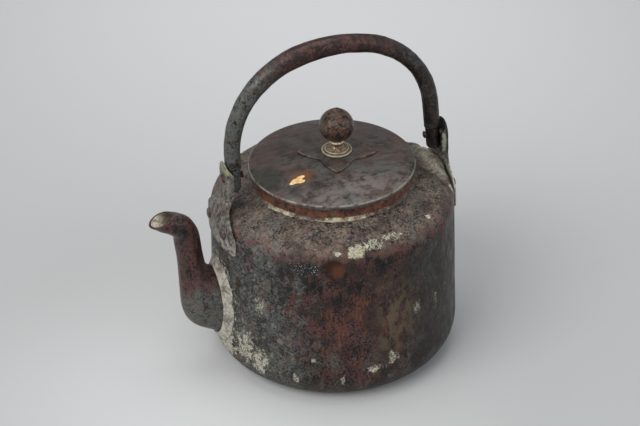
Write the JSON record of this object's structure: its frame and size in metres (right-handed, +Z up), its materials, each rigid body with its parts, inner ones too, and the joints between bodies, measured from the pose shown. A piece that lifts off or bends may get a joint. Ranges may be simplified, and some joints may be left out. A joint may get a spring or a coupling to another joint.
{
  "type": "kettle",
  "caption": "Old sheet-copper water kettle with a gooseneck spout, a bail handle pinned in riveted ears, and a lift-off domed lid with a ball knob.",
  "frame": {"origin": "centre of the kettle's flat base, on the plane that it stands on", "axes": "+Z up along the pot's axis; the spout points along -X; Y = 0 is the plane through the spout and the handle"},
  "size_m": [0.2209, 0.176, 0.2415],
  "materials": {
    "pot_copper": "dark red-brown and black oxide over copper, with lime spots and a green tinge, satin",
    "collar_copper": "redder oxidised copper, satin",
    "solder": "dull cream-grey solder with lime crust",
    "spout_copper": "smooth dark red-brown oxide, mottled grey-green at the root",
    "ear_copper": "brown-grey oxide with verdigris along the edges",
    "rivet_copper": "dark oxide with a rubbed crown",
    "handle_copper": "dark brown-red oxide with grey-green wear",
    "lid_copper": "smooth dark grey-brown oxide with a bright worn edge",
    "stem_brass": "dull old brass",
    "pale_ring": "pale worn brass with green deposit",
    "ball_copper": "mottled red-brown and black oxide with green specks"
  },
  "bodies": {
    "kettle": {"body_shell": "pot_copper", "neck_ring": "collar_copper", "neck_solder": "solder", "spout": "spout_copper", "spout_solder": "solder", "front_lug": "ear_copper", "rear_lug": "ear_copper", "front_lug_rivets": "rivet_copper", "rear_lug_rivets": "rivet_copper", "front_pivot_pin": "rivet_copper", "rear_pivot_pin": "rivet_copper"},
    "handle": {"handle_tube": "handle_copper", "front_handle_end": "handle_copper", "rear_handle_end": "handle_copper"},
    "lid": {"lid_plate": "lid_copper", "lid_flange": "collar_copper", "knob_leaf_plate": "lid_copper", "knob_foot": "stem_brass", "knob_collar": "pale_ring", "knob_ball": "ball_copper", "knob_rivet": "stem_brass", "knob_rove": "stem_brass"}
  },
  "joints": [
    {"name": "handle_swing", "type": "hinge", "parent": "kettle", "child": "handle", "pos_m": [0, 0, 0.15], "axis": [1, 0, 0], "range_deg": [-14, 14]},
    {"name": "lid_lift", "type": "slide", "parent": "kettle", "child": "lid", "axis": [0, 0, 1], "range_m": [0, 0.03]}
  ]
}
